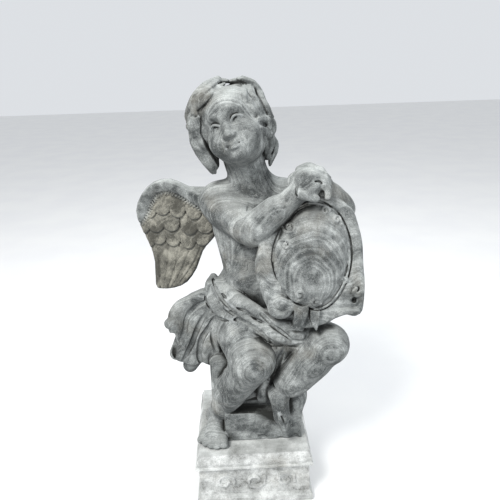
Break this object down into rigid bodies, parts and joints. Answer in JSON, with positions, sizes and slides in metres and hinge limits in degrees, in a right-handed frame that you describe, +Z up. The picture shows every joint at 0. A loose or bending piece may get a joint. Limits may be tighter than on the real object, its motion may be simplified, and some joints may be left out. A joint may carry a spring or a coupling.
{
  "type": "putto statue",
  "caption": "Carved stone winged putto seated on a rock, leaning on an oval scrolled shield, on a square moulded plinth.",
  "frame": {"origin": "centre of the plinth's flat underside", "axes": "+Z up; the figure faces -Y; +X is towards the figure's left hand, the shield side"},
  "size_m": [0.5463, 0.4155, 1.0567],
  "materials": {
    "figure_stone": "weathered blue-grey banded sandstone, matt",
    "plinth_stone": "weathered grey sandstone with dark grime in the carving, matt"
  },
  "bodies": {
    "root": {"putto_figure": "figure_stone", "plinth": "plinth_stone"}
  },
  "joints": []
}
